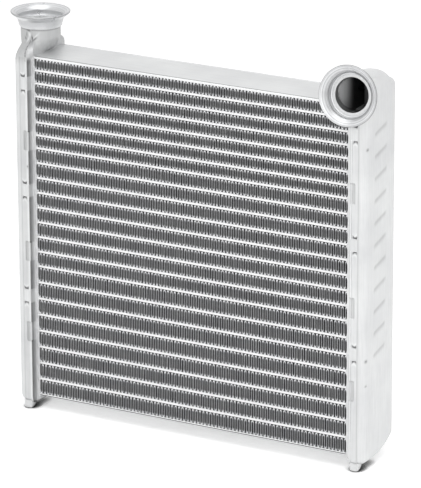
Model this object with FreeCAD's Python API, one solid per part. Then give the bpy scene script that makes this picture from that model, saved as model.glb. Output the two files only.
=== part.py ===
import FreeCAD, Part
import math
import os

# Heater core of a cabin heater: a brazed aluminium block of flat water tubes with folded air fins between them,
# closed by a two-piece pressed tank at each end. Each tank has one round port with a flared hose collar.
# Millimetres. X runs along the tubes, Y points away from the face that the air enters, and Z is up.
# The origin is the middle of the underside of the bottom side plate.

# Core
core_width = 198.0         # between the two header plates
core_depth = 31.0          # tubes, fins and side plates, along the air's way
side_plate_thickness = 1.2
tube_thickness = 1.5
tube_wall = 0.35
tube_nose_bevel = 0.45
tube_reach = 2.0           # how far a tube stands inside the tank
slot_clearance = 0.08      # between a tube and its slot, filled by the braze
fin_sheet = 0.2
fin_waves = 12
fin_end_gap = 0.6          # between the last fold and the header plate
braze_gap = 0.02           # between a fold's crest and the tube
tall_rows = 8              # fin rows from the bottom up, in three heights
tall_fin = 8.25
middle_rows = 8
middle_fin = 7.3
short_rows = 7
short_fin = 6.1

# Tanks, measured outward from the header plate's inner face
tank_wall = 1.2
tank_reach = 12.5
tank_overhang = 3.2        # how far a tank stands in front of and behind the core
seam_reach = 4.0           # where the header plate ends and the cover begins
corner_radius = 4.2
end_rounding = 5.0
tank_drop = 4.5            # how far a tank ends below the core
tank_back_run = 24.0       # depth of the floor that curves up towards the back
tank_back_rise = 9.5       # and how far it rises
right_tank_rise = 9.5      # how far the right tank ends above the core
rounding_steps = 3

# Crimped tabs and pressed windows along the seam
tab_low_middle = 61.0      # height of the lowest tab's middle
tab_top_gap = 15.5         # from the core's top down to the highest tab's middle, with one tab midway
tab_height = 7.4
tab_length = 3.7
tab_thickness = 0.7
window_heights = (39.4, 87.7, 153.3)
window_height = 10.6
window_inner = 2.8
window_outer = 5.6
window_depth = 0.5

# Feet under the tank covers
foot_drop = 7.8
foot_inner = 4.0
foot_width = 4.6
foot_depth = 6.2
foot_tip = 1.2
foot_rounding = 1.5

# Ports
port_reach = 5.0           # from the header plate's inner face to the port's middle
neck_radius = 11.3
bore_radius = 9.7
neck_blend = 5.5           # height of the shoulders between the left tank and its round neck
neck_root_radius = 6.8     # where the flare under the left neck begins
shoulder_half = 9.5        # half the depth left between the shoulders
neck_back_radius = 9.6     # closed back end of the right neck, a hump along the tank's top
neck_back_length = 12.5
left_lip_height = 22.7     # above the core
right_port_height = 4.5    # above the core, where its axis meets the tank's middle plane
right_lip_distance = 32.0
neck_core_gap = 0.3        # between the right neck and the face of the core that it passes
right_mouth_start = 22.0   # along the right port's axis, where its full round bore begins
right_root_radius = 9.3    # of the way from the tank to that bore
right_port_turn = 4.5      # degrees outward from straight ahead
right_port_lift = 9.0      # degrees up
collar_clearance = 0.05
collar_height = 8.4
sleeve_wall = 0.75
shelf_height = 2.2         # where the neck ends inside the collar
seat_radius = 12.4
seat_height = 5.6
throat_step = 1.4          # from the seat out to the throat
throat_height = 6.9
lip_width = 3.1            # from the throat out to the lip's edge
lip_edge = 1.0
belly_wall = 1.0           # from the seat out to the belly
belly_height = 4.6

# Worked out from the sizes above
row_heights = [tall_fin] * tall_rows + [middle_fin] * middle_rows + [short_fin] * short_rows
tube_count = len(row_heights) - 1
core_height = 2 * side_plate_thickness + sum(row_heights) + tube_count * tube_thickness
tank_half = core_depth / 2 + tank_overhang
core_end = core_width / 2
throat_radius = seat_radius + throat_step
lip_radius = throat_radius + lip_width
belly_radius = seat_radius + belly_wall
tab_high_middle = core_height - tab_top_gap
tab_middles = [tab_low_middle, (tab_low_middle + tab_high_middle) / 2, tab_high_middle]


def point(x, y, z):
    return FreeCAD.Vector(x, y, z)


def block(low, high):
    return Part.makeBox(high[0] - low[0], high[1] - low[1], high[2] - low[2], point(*low))


def extruded(points, way):
    """A flat outline of straight edges, pushed along a vector."""
    return Part.Face(Part.makePolygon(points + points[:1])).extrude(way)


def row_floors():
    """The underside of each fin row, from the bottom up."""
    floors = []
    height = side_plate_thickness
    for row in row_heights:
        floors.append(height)
        height += row + tube_thickness
    return floors


def side_plate(bottom):
    return block((-core_end, -core_depth / 2, bottom), (core_end, core_depth / 2, bottom + side_plate_thickness))


def tube_outline(x, middle, grow):
    """Bevelled section of a flat tube across X, larger all round by grow."""
    half_depth = core_depth / 2 + grow
    half_thickness = tube_thickness / 2 + grow
    flat = half_depth - tube_nose_bevel
    nose = half_thickness - tube_nose_bevel
    corners = [(-flat, -half_thickness), (flat, -half_thickness), (half_depth, -nose), (half_depth, nose),
               (flat, half_thickness), (-flat, half_thickness), (-half_depth, nose), (-half_depth, -nose)]
    return [point(x, y, middle + z) for y, z in corners]


def tube(middle):
    """Folded flat tube with a web along its middle, so the water runs in two channels."""
    end = core_end + tank_wall + tube_reach
    body = extruded(tube_outline(-end, middle, 0.0), point(2 * end, 0, 0))
    half_opening = tube_thickness / 2 - tube_wall
    near = tube_wall / 2
    far = core_depth / 2 - tube_nose_bevel - tube_wall
    for side in (-1, 1):
        low, high = sorted((side * near, side * far))
        body = body.cut(block((-end, low, middle - half_opening), (end, high, middle + half_opening)))
    return body


def fin(bottom, height):
    """Strip folded to and fro between two tubes."""
    span = core_width - 2 * fin_end_gap
    low = bottom + braze_gap
    high = bottom + height - braze_gap
    step = span / (2 * fin_waves)
    upright = fin_sheet / math.cos(math.atan2(high - low, step))
    upper = []
    lower = []
    for fold in range(2 * fin_waves + 1):
        x = -span / 2 + fold * step
        rise = (high - low - upright) * (fold % 2)
        lower.append(point(x, -core_depth / 2, low + rise))
        upper.append(point(x, -core_depth / 2, low + rise + upright))
    return extruded(lower + upper[::-1], point(0, core_depth, 0))


def tank_corners(inset, shrink):
    """Corners of the tank's plan section at the right end, moved in by inset, with its outer side drawn in by shrink."""
    half = tank_half - inset - shrink / 2
    outer = tank_reach - inset - shrink
    corner = corner_radius - inset
    slope_run = seam_reach
    slope_rise = tank_overhang
    slope_length = math.hypot(slope_run, slope_rise)
    base_half = core_depth / 2 + inset * (slope_rise - slope_length) / slope_run
    slope_end = (inset * slope_length + slope_run * (half - core_depth / 2)) / slope_rise
    front = [(inset, -base_half), (slope_end, -half), (outer - corner, -half), (outer, corner - half)]
    back = [(reach, -y) for reach, y in reversed(front)]
    return front + back, corner


def tank_section(height, inset, shrink=0.0):
    corners, corner = tank_corners(inset, shrink)
    at = [point(core_end + reach, y, height) for reach, y in corners]
    bulge = corner * (1 - math.sqrt(0.5))
    edges = []
    for n, start in enumerate(at):
        end = at[(n + 1) % len(at)]
        if n in (2, 4):
            side = -1 if n == 2 else 1
            outer = max(start.x, end.x)
            middle = point(outer - bulge, side * (max(abs(start.y), abs(end.y)) - bulge), height)
            edges.append(Part.Arc(start, middle, end).toShape())
        else:
            edges.append(Part.LineSegment(start, end).toShape())
    return Part.Wire(edges)


def shoulders(drop):
    """Everything under the left tank's two sloping shoulders, lowered by drop."""
    slope = neck_blend / (tank_half - shoulder_half)
    far = 2 * tank_half
    low = -2 * foot_drop
    eave = core_height - drop - slope * (far - tank_half)
    ridge = core_height - drop + neck_blend
    outline = [(-far, low), (far, low), (far, eave), (shoulder_half, ridge), (-shoulder_half, ridge), (-far, eave)]
    return extruded([point(core_end, y, z) for y, z in outline], point(tank_reach, 0, 0))


def rounded_end(edge, end, inset):
    """Sections from where the rounding starts to the closed end of a tank."""
    way = 1 if end > edge else -1
    radius = abs(end - edge)
    sections = []
    for n in range(rounding_steps + 1):
        angle = n * math.pi / 2 / rounding_steps
        sections.append(tank_section(edge + way * radius * math.sin(angle), inset, radius * (1 - math.cos(angle))))
    return sections


def tank_floor(inset):
    end = -tank_drop + inset
    return rounded_end(end + end_rounding - inset, end, inset)[::-1]


def side_outline(inset):
    """The tank seen from its outer side, as a slab whose floor curves up towards the back."""
    far = 2 * core_height
    radius = (tank_back_run ** 2 + tank_back_rise ** 2) / (2 * tank_back_rise)
    middle_y = tank_half - tank_back_run
    middle_z = radius - tank_drop
    back = tank_half - inset
    reach = radius - inset

    def on_floor(y):
        return point(core_end, y, middle_z - math.sqrt(reach ** 2 - (y - middle_y) ** 2))

    edges = [
        Part.LineSegment(point(core_end, -far, middle_z - reach), on_floor(middle_y)).toShape(),
        Part.Arc(on_floor(middle_y), on_floor((middle_y + back) / 2), on_floor(back)).toShape(),
        Part.LineSegment(on_floor(back), point(core_end, back, far)).toShape(),
        Part.LineSegment(point(core_end, back, far), point(core_end, -far, far)).toShape(),
        Part.LineSegment(point(core_end, -far, far), point(core_end, -far, middle_z - reach)).toShape(),
    ]
    return Part.Face(Part.Wire(edges)).extrude(point(tank_reach, 0, 0))


def tank_body(inset, upper_sections):
    body = Part.makeLoft(tank_floor(inset) + upper_sections, True, True)
    return body.common(side_outline(inset))


def foot():
    """Tongue under the front corner of a cover."""
    front = -tank_half
    left = core_end + foot_inner
    right = left + foot_width
    top = end_rounding - tank_drop
    tip = -foot_drop
    reach = foot_rounding * (1 - math.sqrt(0.5))
    side = Part.Wire([
        Part.LineSegment(point(left, front, top), point(left, front, tip + foot_rounding)).toShape(),
        Part.Arc(point(left, front, tip + foot_rounding), point(left, front + reach, tip + reach),
                 point(left, front + foot_rounding, tip)).toShape(),
        Part.LineSegment(point(left, front + foot_rounding, tip),
                         point(left, front + foot_rounding + foot_tip, tip)).toShape(),
        Part.LineSegment(point(left, front + foot_rounding + foot_tip, tip),
                         point(left, front + foot_depth, -tank_drop)).toShape(),
        Part.LineSegment(point(left, front + foot_depth, -tank_drop), point(left, front + foot_depth, top)).toShape(),
        Part.LineSegment(point(left, front + foot_depth, top), point(left, front, top)).toShape(),
    ])
    body = Part.Face(side).extrude(point(foot_width, 0, 0))
    middle = (left + right) / 2
    half = foot_width / 2
    shape = Part.Wire([
        Part.LineSegment(point(left, front - 1, top), point(left, front - 1, tip + half)).toShape(),
        Part.Arc(point(left, front - 1, tip + half), point(middle, front - 1, tip),
                 point(right, front - 1, tip + half)).toShape(),
        Part.LineSegment(point(right, front - 1, tip + half), point(right, front - 1, top)).toShape(),
        Part.LineSegment(point(right, front - 1, top), point(left, front - 1, top)).toShape(),
    ])
    return body.common(Part.Face(shape).extrude(point(0, foot_depth + 2, 0)))


def right_port_axis():
    turn = math.radians(right_port_turn)
    lift = math.radians(right_port_lift)
    return point(math.sin(turn) * math.cos(lift), -math.cos(turn) * math.cos(lift), math.sin(lift))


def left_neck(root, radius, low, top):
    """Round neck that flares out of the tank between the shoulders."""
    ridge = core_height + neck_blend
    middle = point(core_end + port_reach, 0, 0)
    flare = Part.makeCone(root, radius, ridge - low, middle + point(0, 0, low))
    return flare.fuse(Part.makeCylinder(radius, top - ridge, middle + point(0, 0, ridge)))


def left_tank():
    """Outer form and hollow of the left tank, drawn at the right end."""
    neck_end = core_height + left_lip_height - collar_height + shelf_height
    ridge = core_height + neck_blend
    outer = tank_body(0.0, [tank_section(ridge, 0.0)]).common(shoulders(0.0))
    outer = outer.fuse(left_neck(neck_root_radius, neck_radius, core_height, neck_end))
    slope_width = tank_half - shoulder_half
    wall_drop = tank_wall * math.hypot(neck_blend, slope_width) / slope_width
    hollow = tank_body(tank_wall, [tank_section(ridge, tank_wall)]).common(shoulders(wall_drop))
    hollow_root = neck_root_radius - neck_radius + bore_radius
    hollow = hollow.fuse(left_neck(hollow_root, bore_radius, core_height + tank_wall, neck_end))
    return outer, hollow


def beside_tank(grow):
    """The room on both sides of the right tank that its neck keeps out of, larger by grow."""
    low = -foot_drop
    high = 2 * core_height
    far = 2 * tank_half
    inner = block((0, -core_depth / 2 - neck_core_gap - grow, low), (core_end + grow, far, high))
    outer = block((core_end + tank_reach - grow, -tank_half - grow, low), (core_end + far, far, high))
    return inner.fuse(outer)


def hump(radius, back_radius, back_length, start, axis):
    """Closed back end of the right neck."""
    return Part.makeCone(radius, back_radius, back_length, start, axis * -1)


def right_tank():
    """Outer form and hollow of the right tank, whose neck leaves at the front."""
    top = core_height + right_tank_rise
    start = point(core_end + port_reach, 0, core_height + right_port_height)
    axis = right_port_axis()
    neck_length = right_lip_distance - collar_height + shelf_height
    neck = Part.makeCylinder(neck_radius, neck_length, start, axis)
    neck = neck.fuse(hump(neck_radius, neck_back_radius, neck_back_length, start, axis))
    outer = tank_body(0.0, rounded_end(top - end_rounding, top, 0.0)).fuse(neck.cut(beside_tank(0.0)))
    mouth = Part.makeCylinder(bore_radius, neck_length - right_mouth_start, start + axis * right_mouth_start, axis)
    way = mouth.fuse(Part.makeCylinder(right_root_radius, right_mouth_start, start, axis))
    wall = neck_radius - right_root_radius
    way = way.fuse(hump(right_root_radius, neck_back_radius - wall, neck_back_length - wall, start, axis))
    hollow = tank_body(tank_wall, rounded_end(top - end_rounding, top - tank_wall, tank_wall))
    hollow = hollow.fuse(way.cut(beside_tank(tank_wall)))
    return outer, hollow


def header_tab(middle, side):
    """Tab of the header plate, folded over the cover's wall."""
    slope = tank_overhang / seam_reach
    root = tab_thickness
    y = side * tank_half
    out = side * tab_thickness
    low = middle - tab_height / 2
    outline = [(seam_reach - root, y - side * slope * root), (seam_reach, y), (seam_reach + tab_length, y),
               (seam_reach + tab_length, y + out), (seam_reach - root / 2, y + out)]
    return extruded([point(core_end + reach, at, low) for reach, at in outline], point(0, 0, tab_height))


def windows():
    """Shallow pressed windows across the seam, front and back."""
    cuts = []
    for middle in window_heights:
        for side in (-1, 1):
            low, high = sorted((side * (tank_half - window_depth), side * (tank_half + 1)))
            cuts.append(block((core_end + window_inner, low, middle - window_height / 2),
                              (core_end + window_outer, high, middle + window_height / 2)))
    return cuts


def tank_halves(outer, hollow):
    """Header plate with its slots and tabs, and cover with its foot, drawn at the right end."""
    low = -foot_drop - 1
    high = core_height + left_lip_height
    seam = core_end + seam_reach
    far = core_depth * 2
    core_side = block((0, -far, low), (seam, far, high))
    outer_side = block((seam, -far, low), (core_end + far, far, high))
    shell = outer.cut(hollow)
    header = shell.common(core_side).cut(windows())
    slots = [extruded(tube_outline(core_end - 1, floor - tube_thickness / 2, slot_clearance),
                      point(tank_wall + 2, 0, 0)) for floor in row_floors()[1:]]
    header = header.cut(slots)
    tabs = [header_tab(middle, side) for middle in tab_middles for side in (-1, 1)]
    header = header.fuse(tabs).removeSplitter()
    cover = outer.fuse(foot()).cut(hollow).common(outer_side).cut(windows()).removeSplitter()
    return header, cover


def port_collar():
    """Flared ring at the origin, along Z, with its sleeve's open end at zero."""
    sleeve = neck_radius + collar_clearance
    profile = [(sleeve, 0), (sleeve + sleeve_wall, 0), (belly_radius, belly_height),
               (lip_radius, collar_height - lip_edge), (lip_radius, collar_height), (throat_radius, throat_height),
               (seat_radius, seat_height), (seat_radius, shelf_height), (sleeve, shelf_height)]
    points = [point(radius, 0, height) for radius, height in profile]
    return Part.Face(Part.makePolygon(points + points[:1])).revolve(point(0, 0, 0), point(0, 0, 1), 360)


def placed(shape, at, axis):
    moved = shape.copy()
    moved.Placement = FreeCAD.Placement(at, FreeCAD.Rotation(point(0, 0, 1), axis))
    return moved


def mirrored(shape):
    return shape.mirror(point(0, 0, 0), point(1, 0, 0))


def all_pieces():
    pieces = {
        "bottom_side_plate": side_plate(0.0),
        "top_side_plate": side_plate(core_height - side_plate_thickness),
    }
    for n, (floor, height) in enumerate(zip(row_floors(), row_heights), 1):
        pieces[f"fin_{n:02d}"] = fin(floor, height)
        if n <= tube_count:
            pieces[f"tube_{n:02d}"] = tube(floor + height + tube_thickness / 2)

    left_header, left_cover = (mirrored(half) for half in tank_halves(*left_tank()))
    right_header, right_cover = tank_halves(*right_tank())
    pieces["left_header_plate"] = left_header
    pieces["left_tank_cover"] = left_cover
    pieces["right_header_plate"] = right_header
    pieces["right_tank_cover"] = right_cover

    up = point(0, 0, 1)
    left_neck_top = point(-core_end - port_reach, 0, core_height + left_lip_height - collar_height)
    start = point(core_end + port_reach, 0, core_height + right_port_height)
    axis = right_port_axis()
    pieces["port_collars"] = Part.makeCompound([
        placed(port_collar(), left_neck_top, up),
        placed(port_collar(), start + axis * (right_lip_distance - collar_height), axis),
    ])
    return pieces


os.makedirs("parts", exist_ok=True)
for name, shape in all_pieces().items():
    solids = shape.Solids
    print(name, "solids", len(solids), "volume", round(shape.Volume, 1), "valid", shape.isValid())
    piece = solids[0] if len(solids) == 1 else Part.makeCompound(solids)
    piece.exportStep(f"parts/{name}.step")
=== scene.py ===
import bmesh
import bpy
import math
import numpy as np
from mathutils import Matrix, Vector


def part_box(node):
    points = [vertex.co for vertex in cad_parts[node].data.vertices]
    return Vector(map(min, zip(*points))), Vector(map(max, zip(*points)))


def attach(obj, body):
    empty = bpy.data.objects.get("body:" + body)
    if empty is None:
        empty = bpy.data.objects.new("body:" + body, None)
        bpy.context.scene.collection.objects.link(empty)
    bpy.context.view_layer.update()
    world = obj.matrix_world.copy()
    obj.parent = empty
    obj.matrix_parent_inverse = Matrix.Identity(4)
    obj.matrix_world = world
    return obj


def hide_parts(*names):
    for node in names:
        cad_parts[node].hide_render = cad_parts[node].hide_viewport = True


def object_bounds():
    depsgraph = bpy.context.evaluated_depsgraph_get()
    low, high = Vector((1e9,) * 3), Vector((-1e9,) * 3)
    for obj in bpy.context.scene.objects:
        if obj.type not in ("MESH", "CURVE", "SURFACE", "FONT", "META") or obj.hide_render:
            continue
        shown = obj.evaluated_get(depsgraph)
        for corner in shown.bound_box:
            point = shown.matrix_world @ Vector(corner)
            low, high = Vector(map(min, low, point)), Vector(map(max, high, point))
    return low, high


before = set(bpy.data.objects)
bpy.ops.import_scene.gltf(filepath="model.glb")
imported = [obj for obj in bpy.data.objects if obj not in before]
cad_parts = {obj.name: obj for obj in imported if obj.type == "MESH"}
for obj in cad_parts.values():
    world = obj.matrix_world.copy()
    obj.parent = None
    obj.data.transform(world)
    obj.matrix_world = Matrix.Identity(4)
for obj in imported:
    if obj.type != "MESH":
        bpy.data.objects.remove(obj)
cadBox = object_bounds()
print("frame loaded:", len(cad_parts), "nodes")

# Everything is worked out in millimetres and written to the meshes in metres.
# A tank is drawn at the right end: reach is the distance outward from the core's end, and side mirrors it.
mm = 0.001
weldDistance = 2e-6  # metres
cores = {"width": 198.0, "depth": 31.0, "height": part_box("top_side_plate")[1][2] / mm}
coreEnd = cores["width"] / 2
coreFront = cores["depth"] / 2
coreTop = cores["height"]


def linear(hexCode):  # an sRGB hex turned to the linear colour that a shader takes
    parts = [int(hexCode[n:n + 2], 16) / 255 for n in (1, 3, 5)]
    return tuple(p / 12.92 if p <= 0.04045 else ((p + 0.055) / 1.055) ** 2.4 for p in parts) + (1.0,)


def addNode(tree, kind, settings=None, links=None):  # settings are properties or socket values, links feed sockets
    node = tree.nodes.new(kind)
    for key, value in (settings or {}).items():
        if isinstance(key, int) or key in node.inputs:
            node.inputs[key].default_value = value
        else:
            setattr(node, key, value)
    for key, source in (links or {}).items():
        tree.links.new(source, node.inputs[key])
    return node


def emptyTree(owner):  # node tree of a material or a world, without the nodes that it starts with
    owner.use_nodes = True
    owner.node_tree.nodes.clear()
    return owner.node_tree


def addObject(name, data):
    thing = bpy.data.objects.new(name, data)
    bpy.context.scene.collection.objects.link(thing)
    return thing


def boxOf(node):  # lowest and highest corner of a CAD node in millimetres
    return [np.array(corner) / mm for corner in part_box(node)]


def ease(low, high, value):  # smooth step from 0 at low to 1 at high
    t = np.clip((value - low) / (high - low), 0, 1)
    return t * t * (3 - 2 * t)


def bump(value, middle, half, soft):  # 1 inside middle +- half, falling to 0 over soft outside it
    return 1 - ease(half, half + soft, np.abs(value - middle))


def gridFaces(rows, cols, wrapped, base):  # quads between neighbouring points of a grid
    c = np.arange(cols if wrapped else cols - 1)
    r, c = np.meshgrid(np.arange(rows - 1), c, indexing="ij")
    right = (c + 1) % cols
    corners = [r * cols + c, r * cols + right, (r + 1) * cols + right, (r + 1) * cols + c]
    return base + np.stack(corners, -1).reshape(-1, 4)


def shell(outer, inner, wrapped=False):  # outer and inner skin with the rims that join them
    grids = [(outer, wrapped), (inner, wrapped)]
    for row in (0, -1):
        grids.append((np.stack([outer[row], inner[row]]), wrapped))
    if not wrapped:
        for col in (0, -1):
            grids.append((np.stack([outer[:, col], inner[:, col]]), False))
    return grids


def makePiece(name, grids, material, replaced, shades=None, sharp=32):
    # grids: (points, wrapped) pairs in millimetres; shades gives a grid's points a tone, from 0 to 1 for black, and
    # below 0 for lighter; the tones are mostly painted shade and painted highlights
    points, faces, tones, base = [], [], [], 0
    for number, (grid, wrapped) in enumerate(grids):
        rows, cols = grid.shape[:2]
        points.append(grid.reshape(-1, 3))
        faces.append(gridFaces(rows, cols, wrapped, base))
        tones.append(np.broadcast_to((shades or {}).get(number, 0.0), (rows, cols)).ravel())
        base += rows * cols
    points, faces, tones = np.concatenate(points) * mm, np.concatenate(faces), np.concatenate(tones)
    mesh = bpy.data.meshes.new(name)
    mesh.vertices.add(len(points))
    mesh.vertices.foreach_set("co", points.ravel())
    mesh.loops.add(faces.size)
    mesh.loops.foreach_set("vertex_index", faces.ravel())
    mesh.polygons.add(len(faces))
    mesh.polygons.foreach_set("loop_start", np.arange(0, faces.size, 4))
    mesh.update(calc_edges=True)
    mesh.attributes.new("shade", "FLOAT", "POINT").data.foreach_set("value", tones)
    work = bmesh.new()
    work.from_mesh(mesh)
    bmesh.ops.remove_doubles(work, verts=work.verts, dist=weldDistance)
    bmesh.ops.recalc_face_normals(work, faces=work.faces)
    work.to_mesh(mesh)
    work.free()
    mesh.shade_smooth()
    mesh.set_sharp_from_angle(angle=math.radians(sharp))
    mesh.materials.append(material)
    piece = addObject(name, mesh)
    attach(piece, "root")
    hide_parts(*replaced)
    return piece


grainDepth = 0.05 * mm
noiseSpan = {"From Min": 0.3, "From Max": 0.7}  # where nearly all values of a noise lie


def sheetMetal(name, look):
    # aluminium sheet: a cloudy oxide tone, fine rolling grain along one axis, and the tone that each point has,
    # which is mostly painted shade and painted highlights
    material = bpy.data.materials.new(name)
    tree = emptyTree(material)
    place = addNode(tree, "ShaderNodeTexCoord").outputs["Object"]
    cloud = addNode(tree, "ShaderNodeTexNoise",
                    {"Scale": 1 / (look["cloud"] * mm), "Detail": 4.0, "Roughness": 0.6}, {"Vector": place})
    stretched = addNode(tree, "ShaderNodeMapping", {"Scale": look["grainStretch"]}, {"Vector": place})
    grain = addNode(tree, "ShaderNodeTexNoise", {"Scale": 1 / (look["grain"] * mm), "Detail": 2.0},
                    {"Vector": stretched.outputs["Vector"]})
    mix = addNode(tree, "ShaderNodeMapRange", noiseSpan, {"Value": cloud.outputs["Fac"]})
    tone = addNode(tree, "ShaderNodeMix", {"data_type": "RGBA", 6: linear(look["dark"]), 7: linear(look["light"])},
                   {"Factor": mix.outputs["Result"]})
    streak = addNode(tree, "ShaderNodeMapRange", noiseSpan | {"To Min": 1 - look["streak"]},
                     {"Value": grain.outputs["Fac"]})
    # the shade attribute: painted shade that takes colour away, and a painted highlight below 0
    shade = addNode(tree, "ShaderNodeAttribute", {"attribute_name": "shade"})
    kept = addNode(tree, "ShaderNodeMath", {"operation": "SUBTRACT", 0: 1.0}, {1: shade.outputs["Fac"]})
    both = addNode(tree, "ShaderNodeMath", {"operation": "MULTIPLY"},
                   {0: streak.outputs["Result"], 1: kept.outputs[0]})
    colour = addNode(tree, "ShaderNodeMix", {"data_type": "RGBA", "blend_type": "MULTIPLY", "Factor": 1.0},
                     {6: tone.outputs[2], 7: both.outputs[0]})
    rough = addNode(tree, "ShaderNodeMapRange",
                    noiseSpan | {"To Min": look["rough"][0], "To Max": look["rough"][1]},
                    {"Value": cloud.outputs["Fac"]})
    relief = addNode(tree, "ShaderNodeBump", {"Strength": look["relief"], "Distance": grainDepth},
                     {"Height": grain.outputs["Fac"]})
    shader = addNode(tree, "ShaderNodeBsdfPrincipled", {"Metallic": look["metallic"]},
                     {"Base Color": colour.outputs[2], "Roughness": rough.outputs["Result"],
                      "Normal": relief.outputs["Normal"]})
    addNode(tree, "ShaderNodeOutputMaterial", {}, {"Surface": shader.outputs["BSDF"]})
    return material


sheetLooks = {
    "brazedTankSheet": {"light": "#e3e4e4", "dark": "#d4d5d6", "cloud": 26.0, "grain": 0.9, "streak": 0.07,
                        "grainStretch": (1.0, 1.0, 0.05), "rough": (0.4, 0.52), "relief": 0.25, "metallic": 0.5},
    # the tubes' sheet is pure white and barely metallic, as painted light on the noses that face the lamps
    "brightTubeSheet": {"light": "#ffffff", "dark": "#f6f6f7", "cloud": 14.0, "grain": 0.6, "streak": 0.02,
                        "grainStretch": (0.05, 1.0, 1.0), "rough": (0.35, 0.45), "relief": 0.15, "metallic": 0.1},
    "rolledFinFoil": {"light": "#e2e3e4", "dark": "#cccdd0", "cloud": 6.0, "grain": 0.5, "streak": 0.15,
                      "grainStretch": (1.0, 1.6, 1.0), "rough": (0.4, 0.6), "relief": 0.5, "metallic": 0.4},
    # the side plates' sheet is near white, as painted light on their front edges
    "satinSidePlate": {"light": "#f2f3f3", "dark": "#e4e5e6", "cloud": 40.0, "grain": 0.8, "streak": 0.06,
                       "grainStretch": (0.05, 1.0, 1.0), "rough": (0.38, 0.5), "relief": 0.2, "metallic": 0.7},
    "pressedCollarSheet": {"light": "#dfe0e1", "dark": "#cfd0d2", "cloud": 12.0, "grain": 0.5, "streak": 0.05,
                           "grainStretch": (1.0, 1.0, 1.0), "rough": (0.26, 0.38), "relief": 0.15, "metallic": 0.6},
}
metals = {name: sheetMetal(name, look) for name, look in sheetLooks.items()}
print("materials:", len(metals))

# the view that was fitted to the photograph: angles in degrees, lengths in millimetres, focal in pixels
view = {"azimuth": 29.08, "elevation": 18.38, "roll": -0.23, "distance": 2300.0, "focal": 4103.0,
        "right": 4.30, "up": 1.52, "imageHeight": 488, "sensor": 36.0, "nearest": 0.05, "farthest": 50}
azimuth, elevation, roll = (math.radians(view[key]) for key in ("azimuth", "elevation", "roll"))
back = Vector((math.sin(azimuth) * math.cos(elevation), -math.cos(azimuth) * math.cos(elevation),
               math.sin(elevation)))
right = Vector((math.cos(azimuth), math.sin(azimuth), 0))
up = back.cross(right)
cameraData = bpy.data.cameras.new("productCamera")
cameraData.lens = view["focal"] / view["imageHeight"] * view["sensor"]
cameraData.sensor_width = view["sensor"]
cameraData.clip_start, cameraData.clip_end = view["nearest"], view["farthest"]
camera = addObject("productCamera", cameraData)
bpy.context.scene.camera = camera
turnedRight = right * math.cos(roll) + up * math.sin(roll)
turnedUp = up * math.cos(roll) - right * math.sin(roll)
spot = Vector((0, 0, coreTop / 2)) + back * view["distance"] + right * view["right"] + up * view["up"]
camera.matrix_world = (Matrix.Translation(spot * mm)
                       @ Matrix((turnedRight, turnedUp, back)).transposed().to_4x4())

# folded foil: legTone is for rows of the two legHeights, and waves gives a row's count by its least height
fins = {"rows": 23, "sheet": 0.28, "swell": 0.9, "inset": 0.15, "gap": 0.03, "clear": 0.01, "wander": 0.06, "bend": 7,
        "crest": 1.6, "over": 0.45, "toneDepth": 0.8, "legHeights": (6.0, 8.0), "legTone": (0.52, 0.4),
        "crestTone": -0.35, "faceTone": 0.82, "gapTone": 0.98, "sharp": 60,
        "waves": ((8.0, 88), (7.0, 92), (0.0, 94))}


def finStrip(low, high, waves, seed):
    # upright legs at even steps along x, joined in turn above and below by half ellipses
    random = np.random.default_rng(seed)
    count = 2 * waves + 1
    legs = np.linspace(low[0] - fins["over"], high[0] + fins["over"], count)
    legs[1:-1] += random.normal(0, fins["wander"], count - 2)
    half, centre = np.diff(legs)[:, None] / 2, (legs[1:] + legs[:-1])[:, None] / 2
    turn = np.linspace(np.pi, 0, fins["bend"])[None]
    way = np.where(np.arange(count - 1) % 2, 1, -1)[:, None]
    reach = (high[2] - low[2] - fins["sheet"]) / 2 - fins["gap"]
    x = (centre + half * np.cos(turn)).ravel()
    z = (low[2] + high[2]) / 2 + (way * (reach - fins["crest"] * (1 - np.sin(turn)))).ravel()
    slope = np.stack([np.gradient(x), np.gradient(z)], -1)
    slope /= np.linalg.norm(slope, axis=1, keepdims=True)
    crest = np.tile(np.sin(turn[0]), count - 1)[:, None]
    normal = np.stack([-slope[:, 1], slope[:, 0]], -1) * fins["sheet"] / 2 * (1 + fins["swell"] * crest)
    front, rear, deep = low[1] + fins["inset"], high[1] - fins["inset"], fins["toneDepth"]
    ring = []
    for side, y in ((1, front), (-1, front), (-1, front + deep), (-1, rear - deep), (-1, rear), (1, rear),
                    (1, rear - deep), (1, front + deep)):
        ring.append(np.stack([x + side * normal[:, 0], np.full_like(x, y),
                              np.clip(z + side * normal[:, 1], low[2] + fins["clear"],
                                      high[2] - fins["clear"])], -1))
    strip = np.stack(ring, 1)
    ends = [(np.stack([strip[end, [1, 2, 3, 4]], strip[end, [0, 7, 6, 5]]]), False) for end in (0, -1)]
    # the bare edges catch light at the crests, and the faces behind them lie in the dark
    leg = np.interp(high[2] - low[2], fins["legHeights"], fins["legTone"])
    edge = leg + (fins["crestTone"] - leg) * crest
    face = fins["faceTone"] + (fins["gapTone"] - fins["faceTone"]) * crest
    return [(strip, True)] + ends, np.where([0, 0, 1, 1, 0, 0, 1, 1], face, edge)


for number in range(1, fins["rows"] + 1):
    node = f"fin_{number:02d}"
    low, high = boxOf(node)
    waves = next(count for least, count in fins["waves"] if high[2] - low[2] > least)
    grids, shade = finStrip(low, high, waves, number)
    makePiece(f"finRow{number:02d}", grids, metals["rolledFinFoil"], [node], {0: shade},
              fins["sharp"])
print("fins:", fins["rows"], "rows")

tubes = {"count": 22, "wall": 0.35, "noseSteps": 9, "flatTone": 0.9}


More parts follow.
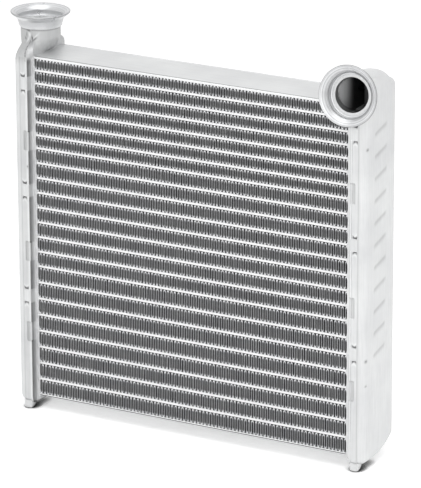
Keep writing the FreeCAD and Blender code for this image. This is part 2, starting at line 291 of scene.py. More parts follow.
def flatLoop(low, high, inset):  # stadium across X: two half circles joined by straights
    y0, y1, z0, z1 = low[1] + inset, high[1] - inset, low[2] + inset, high[2] - inset
    radius, middle = (z1 - z0) / 2, (z0 + z1) / 2
    angle = np.linspace(-np.pi / 2, np.pi / 2, tubes["noseSteps"])
    rear = np.stack([y1 - radius + radius * np.cos(angle), middle + radius * np.sin(angle)], -1)
    front = np.stack([y0 + radius - radius * np.cos(angle), middle - radius * np.sin(angle)], -1)
    return np.concatenate([rear, front])


# the four points where the round noses meet the flat faces, which lie in the dark between the fins
flatShade = np.zeros(2 * tubes["noseSteps"])
flatShade[[0, tubes["noseSteps"] - 1, tubes["noseSteps"], -1]] = tubes["flatTone"]
tubeHeights = []
for number in range(1, tubes["count"] + 1):
    node = f"tube_{number:02d}"
    low, high = boxOf(node)
    rings = []
    for x, inset in ((low[0], 0), (high[0], 0), (high[0], tubes["wall"]), (low[0], tubes["wall"]), (low[0], 0)):
        loop = flatLoop(low, high, inset)
        rings.append(np.column_stack([np.full(len(loop), x), loop]))
    makePiece(f"flatTube{number:02d}", [(np.stack(rings), True)], metals["brightTubeSheet"], [node],
              {0: flatShade})
    tubeHeights.append((low[2] + high[2]) / 2)
tubeHeights = np.array(tubeHeights)
print("tubes:", tubes["count"])

plates = {"rounding": 0.5, "grooveFromEdge": 1.25, "grooveHalf": 0.8, "grooveDepth": 0.3, "grooveTone": 0.8,
          "faceTone": 0.15, "underTone": 0.9, "underFrom": 0.72, "strip": 3, "stripPoints": 24, "steps": 6}


def platePoints(low, high, outward):
    # section across X: rounded long edges, and a shallow groove along each edge of the outer face
    r, strip, count = plates["rounding"], plates["strip"], plates["stripPoints"]
    y = np.concatenate([np.linspace(low[1] + r, low[1] + strip, count),
                        np.linspace(high[1] - strip, high[1] - r, count)])
    edge = np.minimum(y - low[1], high[1] - y)
    dip = 1 - ease(0, plates["grooveHalf"], np.abs(edge - plates["grooveFromEdge"]))
    angle = np.linspace(0, np.pi / 2, plates["steps"])
    outer, inner = (high[2], low[2]) if outward > 0 else (low[2], high[2])
    nearEdge = np.stack([low[1] + r - r * np.cos(angle[:-1]), outer - outward * (r - r * np.sin(angle[:-1]))], -1)
    farEdge = np.stack([high[1] - r + r * np.sin(angle[1:]), outer - outward * (r - r * np.cos(angle[1:]))], -1)
    face = np.stack([y, outer - outward * plates["grooveDepth"] * dip], -1)
    loop = np.concatenate([nearEdge, face, farEdge, [[high[1], inner], [low[1], inner],
                                                     [low[1], outer - outward * plates["underFrom"]]]])
    shade = np.zeros(len(loop))
    first = plates["steps"] - 1
    # painted shade: the outer face a little darker than the front edges, and darker in the groove along the front
    shade[first:first + len(dip)] = plates["faceTone"] + plates["grooveTone"] * dip * (y < 0)
    if outward < 0:  # painted shade on the bottom plate's front edge
        shade[:first] = plates["underTone"]
    centre = np.array([(low[1] + high[1]) / 2, (low[2] + high[2]) / 2])
    rings = [np.column_stack([np.full(len(loop), x), centre + (loop - centre) * share])
             for x, share in ((low[0], 0), (low[0], 1), (high[0], 1), (high[0], 0))]
    return np.stack(rings), shade


for node, outward in (("top_side_plate", 1), ("bottom_side_plate", -1)):
    low, high = boxOf(node)
    rings, shade = platePoints(low, high, outward)
    makePiece("topPlate" if outward > 0 else "bottomPlate", [(rings, True)], metals["satinSidePlate"],
              [node], {0: shade})
print("side plates: 2")

# Both tanks. Tones are shares of the colour that are taken away, and below 0 they make it lighter; most of them are
# painted shade and painted highlights.
tank = {"reach": 12.5, "overhang": 3.2, "corner": 4.2, "wall": 1.2,  # both halves in plan
        "seam": 4.0, "seamGap": 0.1, "rim": 0.28, "flush": 0.15, "lap": 0.4,  # where they meet and touch the core
        "rounding": 5.0, "roofRounding": 3.6, "drop": 4.5, "rightRise": 8.6,  # floor and roof
        "floorRun": 24.0, "floorRise": 9.5, "floorFade": 40,  # arc of the floor towards the back
        "chamfer": 2.8, "chamferHigh": 3.4, "crease": 7.8, "creaseStep": 0.2, "creaseWide": 0.35,
        "stepFrom": 1.9, "stepTo": 3.1, "fineReach": (1.7, 3.3), "finePoints": (5, 14, 7),  # upright step
        "widen": 5.5, "widenHigh": 7, "widenBelow": (3, 8),  # the step's end at the neck, in front and behind
        "frontPoints": 16, "cornerPoints": 10, "sidePoints": 33, "roundPoints": 9, "wallRows": 275, "neckStep": 0.4,
        "near": 0.05,  # a hair, where two things must not quite meet
        "wallSpan": (1.5, 0.4), "proudSpan": (1.5, 0.8),  # inwards from the plane of the front and the rear
        "rimReach": 3.6, "rimHalf": 0.35, "rimSoft": 0.2, "rimTone": -0.15,
        "creaseLine": 0.2, "creaseHalf": 0.3, "creaseTone": 0.25,
        "stepHalf": 0.35, "stepSoft": 0.5, "stepFaint": 0.45, "stepCalm": 0.6, "stepEnd": (-3, 1), "stepTone": 0.74,
        "stripReach": 6.2, "stripHalf": 1.4, "stripSoft": 0.3, "stripTone": 0.1,
        "footLine": (-4.2, -2.6), "footTone": 0.55, "lightest": -0.25, "innerTone": 0.94}
fillets = {"high": 0.3, "half": 1.4, "fade": (0.6, 1.8), "bulge": 4 / 3, "bulgeFade": 0.4}  # braze at the tubes
# what lies along the seam: folded tabs and pressed windows, given by their heights, and slits at the tabs' ends
seams = {"tabs": (61.0, 124.0, 187.0), "tabHalf": 3.7, "tabSoft": 0.5, "tabProud": 0.3, "tabReach": (3.2, 4.3),
         "tabSunk": 0.3, "tabLift": 0.4, "tabTaper": 0.25, "tabTaperFrom": 0.7, "tabRoundFrom": (0.82, 0.85),
         "tabPoints": (12, 13),
         "slitReach": 6.0, "slitWide": 1.35, "slitHalf": 0.65, "slitGap": 0.2, "slitBow": 1.0,
         "slitEnd": (0.8, 1.2), "slitDeep": 0.9, "slitTone": 0.85, "slitRim": -0.2, "rimFrom": 1.5, "rimHalf": 0.7,
         "windows": (39.4, 87.7, 153.3), "windowHalf": 5.3, "windowSoft": (0.6, 0.5), "windowReach": (2.8, 5.6),
         "windowDeep": 0.5, "windowTone": 0.2, "windowEdgeTone": 0.4}
# the right tank's grooves and pits, and the left tank's dimple and neck; folds are the creases in front of it:
# place round the neck and above the core, half length, half width, slant in degrees, tone, which is a painted
# highlight below 0 and painted shade above it
marks = {"grooveLowest": 57.6, "groovePitch": 12.74, "grooveCount": 11, "grooveY": (-7.8, 6.0), "grooveRise": 3.1,
         "grooveDeep": 0.35, "grooveWide": 1.25, "grooveHalf": 0.42, "grooveSoft": 0.15, "grooveTone": 0.22,
         "grooveSkin": 0.2,  # only the outermost skin of the side takes them
         "pits": ((178.4, 0.7), (57.1, 0.8), (42.7, 0.5)), "pitReach": 12.1, "pitY": -16.2, "pitTone": 0.8,
         "dimple": 138.3, "dimpleReach": 3.8, "dimpleHalf": (0.5, 0.8), "dimpleDeep": 0.5, "dimpleTone": 0.6,
         "neckTone": 0.27, "neckToneFrom": (-6, 2), "seamLine": 0.7, "seamHalf": 0.3,
         "seamHigh": 3.2, "seamRun": 5, "seamSoft": 1.2, "collarLine": 0.3, "collarHalf": 0.5, "collarBelow": 2.6,
         "mouthHigh": 3.5, "throatHigh": 9, "throatTone": 0.1,
         "foldDeep": 0.3, "folds": (
             (0.4, 11.2, 1.5, 0.9, 70, -0.35), (0.9, 13.2, 1.1, 0.4, 10, 0.5), (3.2, 8.6, 1.0, 0.4, 60, 0.5),
             (-1.2, 9.3, 1.5, 0.4, 75, 0.65), (-3.3, 10.3, 2.4, 0.4, -45, -0.3), (-2.7, 8.7, 1.5, 0.5, -45, 0.5),
             (2.4, 11.0, 1.4, 0.4, 95, 0.4), (1.2, 8.4, 1.6, 0.5, 105, -0.35))}
neck = {"reach": 5.0, "radius": 11.3, "bore": 9.7,
        "blend": 9.0, "lead": 5.0, "leadReach": (4, 10), "leftEnd": 16.5,  # the left one, from the tank's top
        "outPower": 0.55, "morePower": 1.45, "powerFrom": 2, "powerTo": 3,
        "rightHeight": 4.5, "rightTurn": 4.5, "rightLift": 9.0, "rightEnd": 25.8,  # the right one, with degrees
        "humpEnd": -9.2, "humpRadius": 10.7, "humpRound": 2.8, "humpSwell": 0.6, "humpReach": 14,  # its closed end
        "endShare": 0.75, "halfOverlap": 0.09, "freeWide": 6, "freeFrom": (0.5, 4), "coreGap": 0.4,
        "coreSide": -20.0, "roundSteps": 8, "pipeSteps": 60, "ringPoints": 49}
# the right port's bore and the way from it through the tank's front wall
bore = {"funnel": (-26, -16), "funnelWide": 9.5, "mouthSide": 6, "lit": (16.4, 22.5), "litSide": (-0.1, 0.8),
        "litTone": 0.4, "bareRim": 0.1, "holeRadius": (10.0, 10.7), "holeFront": -12, "holeReach": 0.6,
        "holePush": 21}
tankHalf = coreFront + tank["overhang"]


def coverArc(inset, shrink, z):
    # plan of the cover, from the front seam round the outer side to the back seam: straights and quarter circles
    half, outer = tankHalf - inset - shrink / 2, tank["reach"] - inset - shrink
    start, count = tank["seam"] + tank["seamGap"], tank["frontPoints"]
    corner = min(tank["corner"] - inset, outer - start - tank["near"])
    front = np.stack([np.linspace(start, outer - corner, count + 1)[:-1], np.full(count, -half)], -1)
    angle = np.linspace(-np.pi / 2, 0, tank["cornerPoints"])
    bend = np.stack([outer - corner + corner * np.cos(angle), -half + corner + corner * np.sin(angle)], -1)
    count = tank["sidePoints"]
    side = np.stack([np.full(count, outer), np.linspace(corner - half, half - corner, count + 2)[1:-1]], -1)
    frontPart = np.concatenate([front, bend])
    return np.concatenate([frontPart, side, frontPart[::-1] * (1, -1)])


def headerArc(inset, shrink, z):
    # plan of the header plate, from the back seam round the core's side to the front seam: nearly flush with the
    # core, then an upright step out to the seam's rim; at the neck the step widens until the whole plate stands out
    inner, outer = tank["fineReach"]
    seamPoints, stepPoints, corePoints = tank["finePoints"]
    reach = np.concatenate([np.linspace(tank["seam"], outer, seamPoints)[:-1],
                            np.linspace(outer, inner, stepPoints)[:-1], np.linspace(inner, 0, corePoints)])
    fillet = (fillets["high"] * np.exp(-(np.abs(tubeHeights - z).min() / fillets["half"]) ** 2)
              * (1 - ease(*fillets["fade"], reach)))
    front, rear = (coreFront + tank["flush"] + fillet - inset - shrink / 2
                   + (tank["overhang"] + tank["rim"] - tank["flush"])
                   * ease(tank["stepFrom"] - tank["widen"] * ease(start, start + tank["widenHigh"], z),
                          tank["stepTo"], reach)
                   for start in (coreTop - below for below in tank["widenBelow"]))
    reach = reach - fillets["bulge"] * fillet * ease(fillets["bulgeFade"], 0.0, reach)
    corner = tank["chamfer"] * np.clip(1 - (z + tank["drop"]) / tank["chamferHigh"], 0, 1)
    reach = np.maximum(reach, inset - tank["lap"] + corner)
    count = tank["sidePoints"]
    side = np.stack([np.full(count, reach[-1]), np.linspace(rear[-1], -front[-1], count + 2)[1:-1]], -1)
    return np.concatenate([np.stack([reach, rear], -1), side, np.stack([reach, -front], -1)[::-1]])


def tankRows(arc, inset, roof):
    # plan sections from the floor up: the floor's rounding, the upright wall, then the roof's rounding or the neck;
    # the floor curves up towards the back by an arc, whose lift fades with height
    floor, radius, roofRadius = inset - tank["drop"], tank["rounding"] - inset, tank["roofRounding"] - inset
    wallTop = roof - inset - roofRadius if roof else coreTop + neck["leftEnd"]
    angle = np.linspace(0, np.pi / 2, tank["roundPoints"])
    levels = [(floor + radius * (1 - math.cos(a)), radius * (1 - math.sin(a))) for a in angle]
    levels += [(z, 0.0) for z in np.linspace(floor + radius, coreTop, tank["wallRows"])[1:]]
    levels += [(z, 0.0) for z in np.linspace(coreTop, wallTop, int((wallTop - coreTop) / tank["neckStep"]))[1:]]
    if roof:
        levels += [(wallTop + roofRadius * math.sin(a), roofRadius * (1 - math.cos(a))) for a in angle[1:]]
    rows = np.stack([np.insert(arc(inset, shrink, z), 2, z, axis=1) for z, shrink in levels])
    closing = rows[[0, -1]].copy()
    closing[..., 0] = tank["seam"] + (tank["seamGap"] if arc is coverArc else 0)
    rows = np.concatenate([closing[:1], rows, closing[1:]] if roof else [closing[:1], rows])
    run, rise = tank["floorRun"], tank["floorRise"]
    bend = (run ** 2 + rise ** 2) / (2 * rise)
    past = np.clip(rows[..., 1] - (tankHalf - run), 0, run)
    lift = bend - np.sqrt(bend ** 2 - past ** 2)
    rows[..., 2] += lift * (1 - np.clip((rows[..., 2] - floor) / tank["floorFade"], 0, 1))
    return rows


def leftNeck(rows, radius):
    # above the core each point slides along its own line from the neck's axis until the section is a circle, later
    # where it moves inwards than where it moves outwards
    reach, y, z = (rows[..., n].copy() for n in range(3))
    start = coreTop - neck["lead"] * ease(*neck["leadReach"], reach)
    share = ease(0, 1, (z - start) / (coreTop + neck["blend"] - start))
    away = np.hypot(reach - neck["reach"], y)
    power = ease(neck["radius"] - neck["powerFrom"], neck["radius"] + neck["powerTo"], away)
    share = share ** (neck["outPower"] + neck["morePower"] * power)
    angle = np.arctan2(y, reach - neck["reach"])
    rows[..., 0] += (neck["reach"] + radius * np.cos(angle) - reach) * share
    rows[..., 1] += (radius * np.sin(angle) - y) * share
    return rows


def rightAxis():
    turn, lift = math.radians(neck["rightTurn"]), math.radians(neck["rightLift"])
    along = np.array([math.sin(turn) * math.cos(lift), -math.cos(turn) * math.cos(lift), math.sin(lift)])
    across = np.array([math.cos(turn), math.sin(turn), 0])
    return along, across, np.cross(across, along)


def rightNeck(first, last, grow):
    # pipe along the tilted axis with a round closed end; above the tank its sides are held to the tank's width, and
    # the bore, for which grow is below 0, narrows behind its mouth like a funnel
    along, across, over = rightAxis()
    start = np.array([neck["reach"], 0, coreTop + neck["rightHeight"]])
    end, bend = neck["humpEnd"], neck["humpRound"]
    t = np.concatenate([end + bend * (1 - np.cos(np.linspace(0, np.pi / 2, neck["roundSteps"]))),
                        np.linspace(end + bend, neck["rightEnd"], neck["pipeSteps"])[1:]])
    base = np.interp(t, (end, 0, neck["humpReach"]),
                     (neck["humpRadius"], neck["radius"] + neck["humpSwell"], neck["radius"]))
    radius = base + grow - bend * (1 - np.sqrt(np.clip(1 - (1 - (t - end) / bend).clip(0) ** 2, 0, 1)))
    t = np.maximum(np.insert(t, 0, t[0]), end - neck["endShare"] * grow)
    radius = np.insert(radius, 0, 0)
    angle = np.linspace(first, last, neck["ringPoints"])
    ring = np.cos(angle)[None, :, None] * across + np.sin(angle)[None, :, None] * over
    points = start + t[:, None, None] * along + radius[:, None, None] * ring
    y = points[..., 1]
    free = neck["freeWide"] * ease(-tankHalf + neck["freeFrom"][0], -tankHalf - neck["freeFrom"][1], y)
    if grow:
        least = bore["funnelWide"] * ease(*bore["funnel"], y) - bore["mouthSide"]
    else:  # known fault: the header's wall lies in this plane too, and from behind a patch there is black
        least = np.where(y > -coreFront - neck["coreGap"], 0.0, neck["coreSide"])
    points[..., 0] = np.clip(points[..., 0], least, tank["reach"] + tank["near"] + grow + free)
    # painted shade makes the bore nearly black, a painted light lies on its inner side near the mouth, and its
    # rim is left bare
    lit = ease(*bore["lit"], -points[..., 1]) * ease(*bore["litSide"], -np.cos(angle))[None]
    return points, (tank["innerTone"] - bore["litTone"] * lit) * (t < t[-1] - bore["bareRim"])[:, None]


def seamMarks(reach, y, z):
    # depth, painted shade and painted highlights of what both tanks have: a painted highlight on the rim, painted
    # shade in the crease, pressed windows across the seam with painted shade in them that is darkest at their edges,
    # slits at the tabs' ends with painted shade in them and a painted highlight beside each, painted shade on the
    # upright step, and a painted shadow line along the foot
    wall = ease(*(tankHalf - back for back in tank["wallSpan"]), np.abs(y)) * (z < coreTop)
    first, last = seams["windowReach"]
    depth, calm = np.zeros_like(z), np.zeros_like(z)
    shade = tank["rimTone"] * bump(reach, tank["rimReach"], tank["rimHalf"], tank["rimSoft"]) * wall
    crease = np.exp(-((reach - tank["crease"] - tank["creaseLine"]) / tank["creaseHalf"]) ** 2)
    shade += tank["creaseTone"] * crease * wall
    for middle in seams["windows"]:
        window = bump(z, middle, seams["windowHalf"], seams["windowSoft"][0])
        part = window * bump(reach, (first + last) / 2, (last - first) / 2, seams["windowSoft"][1]) * wall
        depth += seams["windowDeep"] * part
        shade += seams["windowTone"] * part + seams["windowEdgeTone"] * 4 * part * (1 - part)
        calm += window
    for middle in seams["tabs"]:
        calm += bump(z, middle, seams["tabHalf"], seams["tabSoft"])
        for end in (-1, 1):
            along = (reach - seams["slitReach"]) / seams["slitWide"]
            path = middle + end * (seams["tabHalf"] + seams["slitGap"]) + end * seams["slitBow"] * along ** 2
            length = (1 - ease(*seams["slitEnd"], np.abs(along))) * wall
            slit = np.exp(-((z - path) / seams["slitHalf"]) ** 2) * length
            rim = np.exp(-((z - path - end * seams["rimFrom"]) / seams["rimHalf"]) ** 2)
            depth += seams["slitDeep"] * slit
            shade += seams["slitTone"] * slit + seams["slitRim"] * rim * length
    # painted shade on the step is darkest towards the seam, and fainter beside windows and tabs
    step = bump(reach, (tank["stepFrom"] + tank["stepTo"]) / 2, tank["stepHalf"], tank["stepSoft"])
    step *= np.abs(y) > coreFront
    step *= tank["stepFaint"] + (1 - tank["stepFaint"]) * ease(tank["stepFrom"], tank["stepTo"], reach)
    low, high = tank["stepEnd"]
    shade += (tank["stepTone"] * step * (1 - ease(coreTop + low, coreTop + high, z))
              * (1 - tank["stepCalm"] * np.clip(calm, 0, 1)))
    # painted shadow: a dark line along the bottom of the header's front, just above the floor
    shade += tank["footTone"] * (1 - ease(*tank["footLine"], z)) * (reach < tank["seam"] + tank["near"]) * (y < 0)
    return depth, shade, wall


def leftMarks(reach, y, z, wall):
    # depth and shade of the left tank's dimple, which has painted shade in it, of the creases in front of its neck
    # (the ones with a painted highlight raised and the ones with painted shade sunk), of the dark line along the
    # seam, and of the painted shadow under the collar
    dimple = np.exp(-((reach - marks["dimpleReach"]) / marks["dimpleHalf"][0]) ** 2
                    - ((z - marks["dimple"]) / marks["dimpleHalf"][1]) ** 2) * (y < 0)
    depth, shade = marks["dimpleDeep"] * dimple, marks["dimpleTone"] * dimple
    around = neck["radius"] * (np.arctan2(y, reach - neck["reach"]) + np.pi / 2)
    for at, rise, length, width, slant, tone in marks["folds"]:
        u, v = around - at, z - coreTop - rise
        c, s = math.cos(math.radians(slant)), math.sin(math.radians(slant))
        fold = np.exp(-((u * c + v * s) / length) ** 2 - ((v * c - u * s) / width) ** 2) * (y < 0)
        depth += math.copysign(marks["foldDeep"], tone) * fold
        shade += tone * fold
    # the strip between the seam's rim and the crease is a little darker
    shade += tank["stripTone"] * bump(reach, tank["stripReach"], tank["stripHalf"], tank["stripSoft"]) * wall
    # painted shade darkens the neck, from a little below the core's top upwards
    low, high = marks["neckToneFrom"]
    shade += marks["neckTone"] * ease(coreTop + low, coreTop + high, z)
    # painted shadow in a line under the collar
    under = (z - coreTop - neck["leftEnd"] + marks["collarBelow"]) / marks["collarHalf"]
    shade += marks["collarLine"] * np.exp(-under ** 2)
    seam = np.exp(-((reach - tank["seam"] - tank["near"]) / marks["seamHalf"]) ** 2) * (y < 0)
    shade += marks["seamLine"] * seam * bump(z, coreTop + marks["seamHigh"], marks["seamRun"], marks["seamSoft"])
    return depth, shade


def rightMarks(reach, y, z):
    # painted shade in the right tank's slanted grooves, the tone of its dark pits, and the groove's depth in its
    # outer side
    depth, shade = np.zeros_like(z), np.zeros_like(z)
    for number in range(marks["grooveCount"]):
        share = (y - marks["grooveY"][0]) / (marks["grooveY"][1] - marks["grooveY"][0])
        path = marks["grooveLowest"] + number * marks["groovePitch"] + marks["grooveRise"] * share
        groove = (np.exp(-((z - path) / marks["grooveWide"]) ** 2)
                  * bump(share, 0.5, marks["grooveHalf"], marks["grooveSoft"])
                  * (reach > tank["reach"] - marks["grooveSkin"]))
        depth += marks["grooveDeep"] * groove
        shade += marks["grooveTone"] * groove
    for height, size in marks["pits"]:
        far = (z - height) ** 2 + (reach - marks["pitReach"]) ** 2 + (y - marks["pitY"]) ** 2
        shade += marks["pitTone"] * np.exp(-far / size ** 2)
    return depth, shade


def dressed(rows, side):
    # a tank's skin with its marks, and on the right the way through the front wall into the port
    reach, y, z = (rows[..., n].copy() for n in range(3))
    depth, shade, wall = seamMarks(reach, y, z)
    if side < 0:
        more, tone = leftMarks(reach, y, z, wall)
        depth += more
        shade += tone
    else:
        groove, tone = rightMarks(reach, y, z)
        rows[..., 0] -= groove
        shade += tone
        along = rightAxis()[0]
        away = np.stack([reach - neck["reach"], y, z - coreTop - neck["rightHeight"]], -1)
        fromAxis = np.linalg.norm(away - (away @ along)[..., None] * along, axis=-1)
        # where the way to the port goes through the front wall, the wall is pushed back and painted shade darkens it
        hole = (1 - ease(*bore["holeRadius"], fromAxis)) * (y < bore["holeFront"]) * (reach > bore["holeReach"])
        rows[..., 1] += bore["holePush"] * hole
        shade += hole
    rows[..., 1] -= np.sign(y) * depth
    return rows, np.clip(shade, tank["lightest"], tank["innerTone"])


def mirrored(grid, side):  # from reach, y, z at the right end to x, y, z at either end
    return np.concatenate([side * (coreEnd + grid[..., :1]), grid[..., 1:]], -1)


def tabGrids(middle, face):
    # tab of the header plate folded over the cover: a thin pillow whose far corners are rounded
    u, v = np.meshgrid(np.linspace(0, 1, seams["tabPoints"][0]), np.linspace(-1, 1, seams["tabPoints"][1]))
    width = seams["tabHalf"] * (1 - seams["tabTaper"] * ease(seams["tabTaperFrom"], 1.0, u) ** 2)
    far, sides = seams["tabRoundFrom"]
    proud = seams["tabProud"] * (1 - ease(far, 1.0, u)) * (1 - ease(sides, 1.0, np.abs(v)))
    start, length = seams["tabReach"]
    out = tankHalf + tank["rim"] * seams["tabLift"] + proud
    top = np.stack([start + length * u, face * out, middle + v * width], -1)
    under = top.copy()
    under[..., 1] = face * (tankHalf - seams["tabSunk"])
    return top, under


# sections of the foot go from its front to its back: depth, share of the outline
foot = {"reach": 6.3, "half": 2.55, "drop": 7.8, "root": 5.0, "blunt": 0.26, "cornerPower": 1.6, "points": 33,
        "sections": ((0.9, 0.0), (0.1, 0.82), (0.02, 0.94), (0.35, 1.0), (1.6, 1.0), (3.6, 0.92), (5.8, 0.75),
                     (8.0, 0.5), (8.0, 0.0))}


def footGrid():
    # tongue under the front corner: a blunt rounded outline that gets smaller towards the back
    u = np.linspace(0, np.pi, foot["points"])
    top = foot["root"] - foot["drop"]
    across = np.sign(np.cos(u)) * (1 - (1 - np.abs(np.cos(u))) ** foot["cornerPower"])
    loop = np.stack([foot["reach"] - foot["half"] * across, top - foot["root"] * np.sin(u) ** foot["blunt"]], -1)
    centre = np.array([foot["reach"], top])
    return np.stack([np.insert(centre + (loop - centre) * share, 1, -tankHalf + depth, axis=1)
                     for depth, share in foot["sections"]])


def buildTank(side):
    label = "left" if side < 0 else "right"
    roof = None if side < 0 else coreTop + tank["rightRise"]
    for part, arc in (("Cover", coverArc), ("Header", headerArc)):
        outer, inner = tankRows(arc, 0.0, roof), tankRows(arc, tank["wall"], roof)
        if part == "Cover":  # the wall next to the seam stands a little proud as far as the crease
            proud = tank["creaseStep"] * (1 - ease(tank["crease"], tank["crease"] + tank["creaseWide"],
                                                   outer[..., 0]))
            onWall = ease(*(tankHalf - back for back in tank["proudSpan"]), np.abs(outer[..., 1]))
            outer[..., 1] += np.sign(outer[..., 1]) * proud * onWall
        outer, shade = dressed(outer, side)
        if side < 0:
            outer, inner = leftNeck(outer, neck["radius"]), leftNeck(inner, neck["bore"])
            # inside, the neck has painted light at its mouth and painted shade further down
            sunk = coreTop + neck["leftEnd"] - inner[..., 2]
            innerShade = np.where(sunk < marks["mouthHigh"], tank["lightest"],
                                  np.where(sunk < marks["throatHigh"], marks["throatTone"], tank["innerTone"]))
        else:
            inner = dressed(inner, side)[0]
            innerShade = tank["innerTone"]
        # painted shade makes the inner skins nearly black, except in the upper part of the left neck
        grids, shades = shell(outer, inner), {0: shade, 1: innerShade}
        if part == "Header":
            for middle in seams["tabs"]:
                for face in (-1, 1):
                    grids += shell(*tabGrids(middle, face))
        else:
            grids.append((footGrid(), True))
        if side > 0:
            edge = np.pi / 2 + neck["halfOverlap"]
            span = (-edge, edge) if part == "Cover" else (edge, 2 * np.pi - edge)
            pipe = rightNeck(*span, 0.0)[0]
            boreSkin, boreShade = rightNeck(*span, neck["bore"] - neck["radius"])
            shades[len(grids) + 1] = boreShade
            grids += shell(pipe, boreSkin)
        node = f"{label}_tank_cover" if part == "Cover" else f"{label}_header_plate"
        makePiece(f"{label}{part}", [(mirrored(grid, side), wrapped) for grid, wrapped in grids],
                  metals["brazedTankSheet"], [node], shades)


for side in (-1, 1):
    buildTank(side)
print("tanks: 2 headers, 2 covers")

# profile goes round the ring's section: radius, height, tone, which is painted shade in thin rings and along the
# lip's edge
collar = {"height": 8.4, "leftLip": 22.7, "rightLip": 32.0, "steps": 96, "sharp": 50,
          "toneShare": {"left": 0.6, "right": 1.0}, "profile": (
    (11.35, 0.0, 0), (12.0, 0.0, 0.2), (12.15, 0.15, 0.05), (12.3, 0.8, 0.1), (12.6, 2.2, 0.28), (13.1, 3.9, 0.34),
    (13.4, 4.6, 0.34), (13.8, 4.95, 0.15), (15.6, 6.4, 0.0), (16.4, 7.1, 0.05), (16.75, 7.5, 0.7), (16.9, 7.9, 0.8),
    (16.85, 8.2, 0.7), (16.6, 8.4, 0.3), (16.3, 8.3, 0.05), (16.1, 8.2, 0.45), (15.9, 8.12, 0.05), (15.2, 7.75, 0),
    (14.95, 7.62, 0.45), (14.7, 7.48, 0.05), (14.2, 7.15, 0.05), (13.8, 6.9, 0.25), (13.45, 6.55, 0.32),
    (13.2, 6.35, 0.1), (12.9, 6.05, 0.45), (12.6, 5.75, 0.1), (12.45, 5.4, 0.35), (12.4, 4.8, 0.15),
    (12.4, 2.9, 0.1), (12.2, 2.35, 0.4), (11.9, 2.2, 0.0), (11.35, 2.2, 0), (11.35, 0.0, 0))}


def collarGrid(at, along):
    # the ring's section turned about the port's axis
    profile = np.array(collar["profile"])
    across = np.cross(along, (0.0, 0.0, 1.0) if abs(along[2]) < 0.9 else (1.0, 0.0, 0.0))
    across /= np.linalg.norm(across)
    angle = np.linspace(0, 2 * np.pi, collar["steps"] + 1)[:-1]
    ring = np.cos(angle)[:, None] * across + np.sin(angle)[:, None] * np.cross(along, across)
    points = at + profile[:, 1][:, None, None] * along + profile[:, 0][:, None, None] * ring
    return points, profile[:, 2:3]


along = rightAxis()[0]
ports = {"left": (np.array([-coreEnd - neck["reach"], 0, coreTop + collar["leftLip"] - collar["height"]]),
                  np.array([0.0, 0.0, 1.0])),
         "right": (np.array([coreEnd + neck["reach"], 0, coreTop + neck["rightHeight"]])
                   + along * (collar["rightLip"] - collar["height"]), along)}
for label, (at, way) in ports.items():
    points, shade = collarGrid(at, way)
    # the left collar takes less of the painted shade than the right one
    makePiece(f"{label}Collar", [(points, True)], metals["pressedCollarSheet"], ["port_collars"],
              {0: shade * collar["toneShare"][label]}, collar["sharp"])
print("collars: 2")

# floor, background and light, in metres
studio = {"floorHalf": 4.0, "floorLift": 0.3, "contactReach": 0.0047, "contactTone": 0.03,
          "contactSpan": (0.42, 0.95), "contactSamples": 12, "skyStrength": 0.55, "aim": (0, 0, 0.1),
          "lamps": {  # place, size in metres, power in watts
              "overheadSoftbox": ((0.1, -0.2, 1.3), 1.1, 7.0),
              "frontSoftbox": ((0.4, -1.4, 0.65), 1.0, 5.0),
              "rightSoftbox": ((1.25, 0.15, 0.6), 0.8, 2.6),
              "leftSoftbox": ((-1.2, -0.7, 0.6), 0.8, 1.0)}}


def directRays(tree):  # 1 where the camera, a reflection or a see-through surface looks straight at it
    path = addNode(tree, "ShaderNodeLightPath").outputs
    most = addNode(tree, "ShaderNodeMath", {"operation": "MAXIMUM"},
                   {0: path["Is Camera Ray"], 1: path["Is Glossy Ray"]})
    return addNode(tree, "ShaderNodeMath", {"operation": "MAXIMUM"},
                   {0: most.outputs[0], 1: path["Is Transmission Ray"]}).outputs[0]


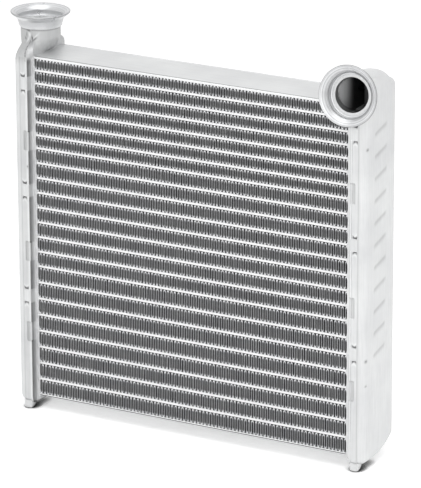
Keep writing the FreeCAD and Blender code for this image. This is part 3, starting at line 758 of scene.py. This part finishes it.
# pale paper: diffuse, with a little glow for direct rays, so that it reads as white and still takes the shadow;
# a painted contact shadow darkens it where something stands or hangs just above it
floorMaterial = bpy.data.materials.new("paleSeamlessPaper")
tree = emptyTree(floorMaterial)
nearby = addNode(tree, "ShaderNodeAmbientOcclusion",
                 {"samples": studio["contactSamples"], "Distance": studio["contactReach"]})
bare = addNode(tree, "ShaderNodeMapRange",
               {"interpolation_type": "SMOOTHSTEP", "From Min": studio["contactSpan"][0],
                "From Max": studio["contactSpan"][1], "To Min": studio["contactTone"]},
               {"Value": nearby.outputs["AO"]})
paper = addNode(tree, "ShaderNodeBsdfDiffuse", {}, {"Color": bare.outputs["Result"]})
lift = addNode(tree, "ShaderNodeMath", {"operation": "MULTIPLY", 1: studio["floorLift"]}, {0: directRays(tree)})
held = addNode(tree, "ShaderNodeMath", {"operation": "MULTIPLY"}, {0: lift.outputs[0], 1: bare.outputs["Result"]})
glow = addNode(tree, "ShaderNodeEmission", {}, {"Strength": held.outputs[0]})
both = addNode(tree, "ShaderNodeAddShader", {}, {0: paper.outputs["BSDF"], 1: glow.outputs["Emission"]})
addNode(tree, "ShaderNodeOutputMaterial", {}, {"Surface": both.outputs["Shader"]})
half, floorZ = studio["floorHalf"], cadBox[0][2]
floorMesh = bpy.data.meshes.new("studioFloor")
floorMesh.from_pydata([(-half, -half, floorZ), (half, -half, floorZ), (half, half, floorZ), (-half, half, floorZ)],
                      [], [(0, 1, 2, 3)])
floorMesh.materials.append(floorMaterial)
floor = addObject("studioFloor", floorMesh)

world = bpy.data.worlds.new("studioWorld")
bpy.context.scene.world = world
tree = emptyTree(world)
strength = addNode(tree, "ShaderNodeMapRange", {"To Min": studio["skyStrength"]}, {"Value": directRays(tree)})
sky = addNode(tree, "ShaderNodeBackground", {"Color": (1, 1, 1, 1)}, {"Strength": strength.outputs["Result"]})
addNode(tree, "ShaderNodeOutputWorld", {}, {"Surface": sky.outputs["Background"]})

for name, (place, size, power) in studio["lamps"].items():
    light = bpy.data.lights.new(name, "AREA")
    light.size = size
    light.energy = power
    lamp = addObject(name, light)
    aim = Vector(studio["aim"]) - Vector(place)
    lamp.matrix_world = Matrix.Translation(place) @ aim.to_track_quat("-Z", "Y").to_matrix().to_4x4()

bpy.context.scene.view_settings.view_transform = "Standard"
